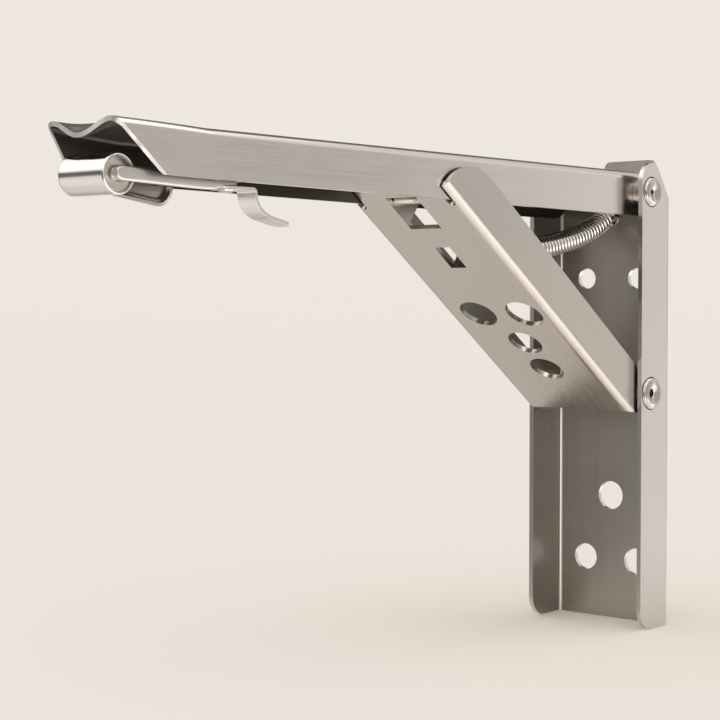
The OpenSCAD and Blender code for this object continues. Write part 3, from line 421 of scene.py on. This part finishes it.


# Assist spring: close coils of bright spring wire from the stud down to the strut's tab, bowed
# behind the arm. A loop at its upper end holds the stud's neck, and a hook at its lower end the tab.
# It can't be drawn out as the strut folds.
def spring_tree():
    """Geometry nodes for a coil along a Bezier path: its two ends, their handles, turns and sizes."""
    group = bpy.data.node_groups.new("wire_coil", "GeometryNodeTree")
    for name, kind in [("Start", "NodeSocketVector"), ("Start Handle", "NodeSocketVector"),
                       ("End Handle", "NodeSocketVector"), ("End", "NodeSocketVector"),
                       ("Turns", "NodeSocketFloat"), ("Coil Radius", "NodeSocketFloat"),
                       ("Wire Radius", "NodeSocketFloat"), ("Steps", "NodeSocketInt"),
                       ("Finish", "NodeSocketMaterial")]:
        group.interface.new_socket(name=name, in_out="INPUT", socket_type=kind)
    group.interface.new_socket(name="Geometry", in_out="OUTPUT", socket_type="NodeSocketGeometry")
    given = node(group, "NodeGroupInput").outputs
    path = node(group, "GeometryNodeCurvePrimitiveBezierSegment",
                {"Resolution": 200, "Start": given["Start"], "Start Handle": given["Start Handle"],
                 "End Handle": given["End Handle"], "End": given["End"]}, mode="POSITION")
    fine = node(group, "GeometryNodeResampleCurve", {"Curve": path.outputs[0], "Count": given["Steps"]})
    share = node(group, "GeometryNodeSplineParameter").outputs["Factor"]
    angle = maths(group, "MULTIPLY", maths(group, "MULTIPLY", share, given["Turns"]), 2 * pi)
    along = node(group, "GeometryNodeInputTangent").outputs[0]
    across = node(group, "ShaderNodeVectorMath", {0: along, 1: (1, 0, 0)},
                  operation="CROSS_PRODUCT").outputs[0]
    reach = maths(group, "MULTIPLY", maths(group, "COSINE", angle), given["Coil Radius"])
    sway = maths(group, "MULTIPLY", maths(group, "SINE", angle), given["Coil Radius"])
    level = node(group, "ShaderNodeVectorMath", {0: (1, 0, 0), 3: reach}, operation="SCALE").outputs[0]
    tall = node(group, "ShaderNodeVectorMath", {0: across, 3: sway}, operation="SCALE").outputs[0]
    both = node(group, "ShaderNodeVectorMath", {0: level, 1: tall}, operation="ADD").outputs[0]
    coil = node(group, "GeometryNodeSetPosition", {"Geometry": fine.outputs[0], "Offset": both})
    wire = node(group, "GeometryNodeCurvePrimitiveCircle", {"Resolution": 10,
                                                            "Radius": given["Wire Radius"]})
    solid = node(group, "GeometryNodeCurveToMesh",
                 {"Curve": coil.outputs[0], "Profile Curve": wire.outputs[0], "Fill Caps": True})
    real = node(group, "GeometryNodeRealizeInstances", {0: solid.outputs[0]})
    coat = node(group, "GeometryNodeSetMaterial", {"Geometry": real.outputs[0], "Material": given["Finish"]})
    node(group, "NodeGroupOutput", {0: coat.outputs[0]})
    return group


wire_coil = spring_tree()


def coiled(name, inputs):
    """The mesh of a coil with these inputs."""
    made = bpy.data.objects.new(name, bpy.data.meshes.new(name))
    bpy.context.scene.collection.objects.link(made)
    nodes = made.modifiers.new("coil", "NODES")
    nodes.node_group = wire_coil
    for item in wire_coil.interface.items_tree:
        if item.in_out == "INPUT" and item.name in inputs:
            nodes[item.identifier] = inputs[item.name]
    result = bpy.data.meshes.new_from_object(made.evaluated_get(bpy.context.evaluated_depsgraph_get()))
    bpy.data.objects.remove(made)
    return result


def swept(shape, path, sections, sides=16, start=(0, 0, 1)):
    """Adds a closed bar along a path in mm. A section is half width, half height and squareness."""
    rings = []
    over = Vector(start)
    for i, (place, section) in enumerate(zip(path, sections)):
        following, before = path[min(i + 1, len(path) - 1)], path[max(i - 1, 0)]
        ahead = (Vector(following) - Vector(before)).normalized()
        over = (over - ahead * over.dot(ahead)).normalized()
        side = ahead.cross(over)
        wide, tall, square = section
        ring = []
        for k in range(sides):
            c, s = cos(2 * pi * k / sides), sin(2 * pi * k / sides)
            x = wide * abs(c) ** (2 / square) * (1 if c > 0 else -1)
            z = tall * abs(s) ** (2 / square) * (1 if s > 0 else -1)
            ring.append(shape.verts.new((Vector(place) + side * x + over * z) * 0.001))
        rings.append(ring)
    for first, second in zip(rings, rings[1:]):
        for k in range(sides):
            shape.faces.new((first[k], first[(k + 1) % sides], second[(k + 1) % sides], second[k]))
    shape.faces.new(rings[0])
    shape.faces.new(rings[-1])
    bmesh.ops.recalc_face_normals(shape, faces=shape.faces)


def part_of(points, low, high):
    """The Bezier handles of the stretch from low to high of a Bezier path."""
    def cut_at(points, share):
        a, b, c, d = points
        ab, bc, cd = a.lerp(b, share), b.lerp(c, share), c.lerp(d, share)
        abc, bcd = ab.lerp(bc, share), bc.lerp(cd, share)
        middle = abc.lerp(bcd, share)
        return (a, ab, abc, middle), (middle, bcd, cd, d)
    return cut_at(cut_at(points, high)[0], low / high)[1]


def handles(points, **sizes):
    """The inputs of a coil: its path's points in mm, and its sizes by name."""
    places = dict(zip(("Start", "Start Handle", "End Handle", "End"), [tuple(p * 0.001) for p in points]))
    return {**places, **{name.replace("_", " "): value for name, value in sizes.items()}}


spring_steel = steel("spring_steel", (0.88, 0.85, 0.815), 0.11, 0.06, density=600.0, cloud=0.05)
wire, turn_radius = 0.75, 4.05
stud_end, tab_end = Vector((0, -6.7, 26.9)), Vector((0, -107.467, 9.11))
bow = part_of((stud_end, stud_end + Vector((0, -15, -10.1)), tab_end + Vector((0, 46, 0)), tab_end),
              0.05, 0.94)
spring = bmesh.new()
spring.from_mesh(coiled("assist_coil", handles(bow, Turns=40.0, Coil_Radius=turn_radius / 1000,
                                               Wire_Radius=wire / 1000, Steps=961, Finish=spring_steel)))
loop = [stud_end + Vector((2.2 * sin(radians(a)), -0.4, 2.2 * cos(radians(a)))) for a in range(-150, 91, 20)]
loop += [stud_end + Vector((3.0, -1.0, -0.9)), bow[0] + Vector((3.9, 0.3, 0.3)),
         bow[0] + Vector((turn_radius, 0, 0))]
swept(spring, loop, [(wire, wire, 2)] * len(loop), sides=10, start=(0, 1, 0))
tail = [bow[3] + Vector((turn_radius, 0, 0)), bow[3] + Vector((3.4, -1.6, 0.6)),
        bow[3] + Vector((1.6, -2.6, 0.8)), tab_end + Vector((0.2, 0.6, 1.2)),
        tab_end + Vector((0, 0, -0.4)), tab_end + Vector((0, 0.2, -2.0))]
swept(spring, tail, [(wire, wire, 2)] * len(tail), sides=10, start=(0, 0, 1))
spring = finished("assist_coil", as_mesh(spring, "assist_coil"), (spring_steel,), "wall_side",
                  ["assist_spring"])
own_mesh(spring)


# Arm: a channel of 2 mm stainless, open below, brushed along its length. A press has formed its
# end into two crests with a groove between them, and the sides are cut back slantwise below them.
# The CAD channel is cut off behind the tip, and rings of the pressed section carry it on. Its faces inside the
# channel are near black, painted shade, and its cut front rim and rounded edges carry a painted highlight.
def in_arm(centre, normal):
    """2, a near black painted shade, on the faces that look into the arm's channel, and 0 elsewhere."""
    return 2 if centre.x * normal.x + (centre.z - 0.036) * normal.z < -0.002 else 0


reach, tip_from, crest, groove = 307.5, 272.0, 14.0, 4.5
arm_half, arm_foot, foot_rise, arm_top, arm_sheet = 22.8, 26.5, 3, 45.5, 2.0
flat_half, bend, crest_lift = 19.3, 3.5, 1.7


def tip_section(share):
    """Outer and inner points of the tip's sheet, in mm, from one foot over the top to the other."""
    k, press = share ** 1.5, min(1, max(0, (share - 0.7) / 0.3))
    dip = groove * press * press * (3 - 2 * press)
    low = arm_foot + foot_rise * (tip_from + share * (reach - tip_from) + pivot_y) / (reach + pivot_y)
    middle, r, top = flat_half - (flat_half - crest) * k, bend + 0.8 * k, arm_top + crest_lift * share
    lean = atan2(arm_half - middle - r, top - r - low)
    in_by, up_by = arm_half - middle - r * cos(lean), top - r + r * sin(lean) - low
    half = [Vector((arm_half - in_by * i / 9, 0, low + up_by * i / 9)) for i in range(9)]
    for i in range(7):
        angle = lean + (pi / 2 - lean) * i / 6
        half.append(Vector((middle + r * cos(angle), 0, top - r + r * sin(angle))))
    for i in range(1, 15):
        x = middle * (1 - i / 14)
        half.append(Vector((x, 0, top - (dip / 2 * (1 + cos(pi * x / crest)) if x < crest else 0))))
    outer = half + [Vector((-p.x, 0, p.z)) for p in reversed(half[:-1])]
    inner = []
    for i, point in enumerate(outer):
        ahead = (outer[min(i + 1, len(outer) - 1)] - outer[max(i - 1, 0)]).normalized()
        if i in (0, len(outer) - 1):
            ahead = Vector((0, 0, 1 if i == 0 else -1))
        inner.append(point + (arm_sheet - 0.4 * k) * Vector((-ahead.z, 0, ahead.x)))
    for i, point in enumerate(outer):
        x = min(abs(point.x), crest)
        nose = 0.5 * (1 - cos(pi * x / crest)) if abs(point.x) < crest else 1.0
        back = 0.88 * (top - point.z) if abs(point.x) >= crest * 0.999 else 0
        point.y = inner[i].y = -tip_from + share * (nose + back - reach + tip_from)
    return outer, inner


arm = merged("arm", in_arm)
bmesh.ops.bisect_plane(arm, geom=arm.verts[:] + arm.edges[:] + arm.faces[:], dist=1e-7,
                       plane_co=(0, -0.001 * tip_from + 0.002, 0), plane_no=(0, -1, 0), clear_outer=True)
rim = [edge for edge in arm.edges if edge.is_boundary]
longest = [edge for edge in rim if edge.calc_length() > 0.008]
upright = [edge for edge in longest if abs((edge.verts[0].co - edge.verts[1].co).x) < 1e-4]
level = [edge for edge in longest if edge not in upright]
bmesh.ops.subdivide_edges(arm, edges=upright, cuts=8)
bmesh.ops.subdivide_edges(arm, edges=level, cuts=27)
rim = [edge for edge in arm.edges if edge.is_boundary]
rings = []
for share in [0, 0.15, 0.3, 0.42, 0.53, 0.62, 0.68, 0.72, 0.76, 0.8, 0.84, 0.88, 0.91, 0.94, 0.97, 1]:
    outer, inner = tip_section(share)
    rings.append([arm.verts.new(p * 0.001) for p in outer + list(reversed(inner))])
whole = len(rings[0])
# The tip's inner faces get the near black inside steel, painted shade.
for first, second in zip(rings, rings[1:]):
    for i in range(whole):
        face = arm.faces.new((first[i], first[(i + 1) % whole], second[(i + 1) % whole], second[i]))
        face.material_index = 2 if whole // 2 <= i < whole - 1 else 0
# The front rim's faces get the lighter edge steel, a painted highlight.
for i in range(whole // 2 - 1):
    front = rings[-1]
    face = arm.faces.new((front[i], front[i + 1], front[whole - 2 - i], front[whole - 1 - i]))
    face.material_index = 1
ring_edges = [edge for edge in arm.edges if edge.is_boundary and edge not in set(rim)]
bridge = bmesh.ops.bridge_loops(arm, edges=rim + ring_edges)
for face in bridge["faces"]:
    face.normal_update()
bmesh.ops.recalc_face_normals(arm, faces=arm.faces)
for face in bridge["faces"]:
    face.material_index = in_arm(face.calc_center_median(), face.normal)
# The inside steel is near black: painted shade and painted dark reflection inside the channel.
arm_steel = steel("arm_steel", (0.66, 0.625, 0.60), 0.22, 0.22)
arm_inside_shade = steel("arm_inside_shade", (0.06, 0.054, 0.048), 0.38, 0.3, cloud=0.1)
finished("arm_channel", as_mesh(arm, "arm"), (arm_steel, painted_edge_highlight, arm_inside_shade), "arm_side",
         ["arm"], edge=0.0003)


# Latch bar: a strip of sheet under the arm's top with a lip on the near side and two blades that
# hold the strut's pin. It slides on two shouldered studs, and a small spring draws it back.
latch_steel = steel("latch_steel", (0.42, 0.39, 0.365), 0.32, 0.2)
# Its rounded edges get the lighter edge steel, a painted highlight.
finished("latch_strip", as_mesh(merged("latch_bar"), "latch"), (latch_steel, painted_edge_highlight), "latch_side",
         ["latch_bar"], edge=0.0002)
coated("latch_guide_studs", rivet_steel)
line = (Vector((0, -166, 36.3)), Vector((0, -174, 36.3)), Vector((0, -183, 36.3)), Vector((0, -191, 36.3)))
small = bmesh.new()
small.from_mesh(coiled("latch_coil", handles(line, Turns=14.0, Coil_Radius=0.0019, Wire_Radius=0.0004,
                                             Steps=337, Finish=spring_steel)))
loop = [Vector((2.0 * sin(radians(a)), -161 + 2.0 * cos(radians(a)), 36.3)) for a in range(-40, 181, 20)]
loop += [Vector((1.2, -164.6, 36.3)), Vector((1.9, -166, 36.3))]
swept(small, loop, [(0.4, 0.4, 2)] * len(loop), sides=8)
loop = [Vector((1.9, -191, 36.3)), Vector((0.9, -192.4, 36.6)), Vector((0, -194, 36.3)),
        Vector((0, -196.6, 36.3)), Vector((0, -197.2, 37.2))]
swept(small, loop, [(0.4, 0.4, 2)] * len(loop), sides=8)
finished("latch_coil", as_mesh(small, "latch_coil"), (spring_steel,), "arm_side",
         ["latch_spring"])


# Pull rod: a drawn strip on edge, matt from brushing. Its rounded nose stands on the grip's disc,
# with a round pin through the barrel. To the rear it narrows, and there it is set flat and punched
# for the rivet.
grip_at = (13, -302, 29.7)
rod_steel = steel("rod_steel", (0.60, 0.565, 0.53), 0.40, 0.2, cloud=0.16)
# Each row is a place on the rod's middle line, half its width, half its height and its squareness.
rod_rows = [(14.4, -304.9, 29.8, 0.7, 0.6, 4), (14.4, -304.7, 29.8, 1.0, 1.2, 4),
            (14.4, -304.2, 29.8, 1.2, 1.75, 4), (14.4, -303.4, 29.8, 1.25, 2.2, 4),
            (14.4, -302.3, 29.75, 1.25, 2.4, 4), (14.5, -299.5, 29.7, 1.25, 2.4, 4),
            (15.0, -296, 29.55, 1.25, 2.4, 4), (15.7, -292, 29.35, 1.25, 2.4, 4),
            (16.1, -288, 29.1, 1.25, 2.35, 4), (16.2, -280, 28.7, 1.25, 2.25, 4),
            (16.2, -273, 28.35, 1.25, 2.1, 4), (16.2, -268, 28.1, 1.3, 1.95, 4),
            (16.2, -265, 28.0, 1.35, 1.75, 4), (16.0, -262.5, 28.2, 1.6, 1.4, 3.6),
            (15.4, -260.6, 28.5, 2.5, 1.05, 3.6), (14.8, -259, 28.6, 3.2, 0.95, 3.6),
            (14.6, -257, 28.6, 3.4, 0.95, 3.6), (14.6, -255.4, 28.6, 3.0, 0.95, 3.6),
            (14.6, -254.3, 28.6, 2.1, 0.9, 3.6), (14.6, -253.7, 28.6, 0.9, 0.8, 3.6)]
rod = bmesh.new()
swept(rod, [row[:3] for row in rod_rows], [row[3:] for row in rod_rows], sides=28)
turned(rod, [(0, -21), (2, -21), (2, 1.0), (0, 1.0)], grip_at, (1, 0, 0), steps=32)
finished("bent_rod", as_mesh(rod, "rod"), (rod_steel,), "latch_side", ["pull_rod"])


# Grip: a turned barrel that spins on the rod's end, polished, with a disc sunk in its near rim and a flat cap
# on its far end. The disc and cap are of a duller steel.
barrel_steel = steel("barrel_steel", (0.76, 0.73, 0.70), 0.10, 0.10, density=900.0, turn=(0, 0, 90),
                     scale=(0.02, 1, 0.02), cloud=0.03)
pin_hole = 2.02
barrel = bmesh.new()
turned(barrel, [(pin_hole, -22.0), (5.6, -22.0), (6.1, -21.9), (6.45, -21.6), (6.6, -21.1), (6.6, -18),
                (6.6, -10), (6.6, -1.0), (6.58, -0.35), (6.45, -0.05), (6.25, 0.05), (6.0, 0.0),
                (5.85, -0.2), (5.75, -0.7), (5.75, -1.6), (pin_hole, -1.6), (pin_hole, -22.0)],
       grip_at, (1, 0, 0), steps=96)
bmesh.ops.remove_doubles(barrel, verts=barrel.verts, dist=1e-6)
finished("grip_sleeve", as_mesh(barrel, "barrel"), (barrel_steel,), "latch_side", ["grip_barrel"])
disc_steel = steel("disc_steel", (0.62, 0.59, 0.56), 0.30, 0.12, density=900.0, cloud=0.04)
caps = bmesh.new()
turned(caps, [(pin_hole, -1.58), (5.68, -1.58), (5.68, -1.0), (5.5, -0.82), (5.2, -0.8), (pin_hole, -0.8),
              (pin_hole, -1.58)], grip_at, (1, 0, 0), steps=72)
turned(caps, [(0, -22.0), (5.75, -22.0), (5.6, -22.4), (5.2, -22.65), (4.2, -22.8), (0, -22.8)],
       grip_at, (1, 0, 0), steps=72)
bmesh.ops.remove_doubles(caps, verts=caps.verts, dist=1e-6)
finished("grip_discs", as_mesh(caps, "caps"), (disc_steel,), "latch_side", ["grip_caps"])


# Thumb paddle: a spoon of sheet behind the barrel. Its lower and rear edges are drawn round towards
# the near side, and its front end is welded to the barrel.
paddle_steel = steel("paddle_steel", (0.50, 0.465, 0.43), 0.27, 0.18)
front, long, low, high, corner, curl = 4.6, 36.1, 3.9, 3.2, 6.0, 2.6
straight = 12
edge = [Vector((front + (long - corner - front) * i / straight, -low)) for i in range(straight)]
edge += [Vector((long - corner + corner * sin(pi / 2 * i / 8), corner - low - corner * cos(pi / 2 * i / 8)))
         for i in range(9)]
edge += [Vector((long, corner - low + (high + low - corner) * i / 4)) for i in range(1, 5)]
outline = []
for i, place in enumerate(edge):
    ahead = (edge[min(i + 1, len(edge) - 1)] - edge[max(i - 1, 0)]).normalized()
    outline.append((place, Vector((-ahead.y, ahead.x))))
spoon = bmesh.new()
lines = []
for step in range(8):
    angle = pi / 2 * step / 7
    inset, lift = curl * (1 - cos(angle)), curl * (1 - sin(angle))
    line = []
    for i, (place, inward) in enumerate(outline):
        at = place + inward * inset
        line.append(spoon.verts.new((lift, at.x, at.y)))
    lines.append(line)
for first, second in zip(lines, lines[1:]):
    for i in range(len(first) - 1):
        spoon.faces.new((first[i], first[i + 1], second[i + 1], second[i]))
last = lines[-1]
turn_at = straight - 1
for step in range(1, 5):
    line = []
    for i, start in enumerate(last):
        x = start.co.y
        if i > turn_at:
            span = last[-1].co.y - last[turn_at].co.y
            x = last[turn_at].co.y + span * (i - turn_at) / (len(last) - straight)
        line.append(spoon.verts.new(start.co.lerp(Vector((0, x, high)), step / 4)))
    lines.append(line)
    for i in range(len(line) - 1):
        spoon.faces.new((lines[-2][i], lines[-2][i + 1], line[i + 1], line[i]))
bmesh.ops.remove_doubles(spoon, verts=spoon.verts, dist=0.05)
bmesh.ops.recalc_face_normals(spoon, faces=spoon.faces)
droop = Matrix.Rotation(radians(-7.8), 4, "X") @ Matrix.Scale(0.001, 4)
bmesh.ops.transform(spoon, matrix=Matrix.Translation((-0.0046, -0.302, 0.0297)) @ droop, verts=spoon.verts)
# Its rounded edges get the lighter edge steel, a painted highlight.
finished("spoon_paddle", as_mesh(spoon, "paddle"), (paddle_steel, painted_edge_highlight), "latch_side",
         ["thumb_paddle"], edge=0.0003, sharp=60, wall=0.0012)


# Latch rivet: one shouldered rivet with two thin washers joins the bar's lip, the rod's eye and
# the finger leaf.
stack = bmesh.new()
turned(stack, [(0, -4.9), (1.7, -4.9), (2.6, -4.6), (3.0, -4.1), (3.0, -4.0), (2.95, -3.9), (1.8, -3.9),
               (1.8, 1.0), (2.9, 1.0), (3.0, 1.1), (3.0, 1.3), (1.9, 1.75), (0, 1.8)],
       (14.6, -257, 30.6), (0, 0, 1), steps=40)
finished("latch_pin", as_mesh(stack, "stack"), (rivet_steel,), "latch_side", ["latch_rivet"])


# Finger leaf: a hook of polished spring sheet, riveted under the rod's eye. The arm folds over the strut by
# pressing it flat against the rod.
leaf_steel = steel("leaf_steel", (0.78, 0.75, 0.715), 0.20, 0.08, cloud=0.06)
# Its rounded edges get the lighter edge steel, a painted highlight.
leaf = finished("finger_hook", as_mesh(merged("finger_leaf"), "leaf"), (leaf_steel, painted_edge_highlight), "latch_side",
                ["finger_leaf"], edge=0.0002, sharp=40)
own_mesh(leaf)
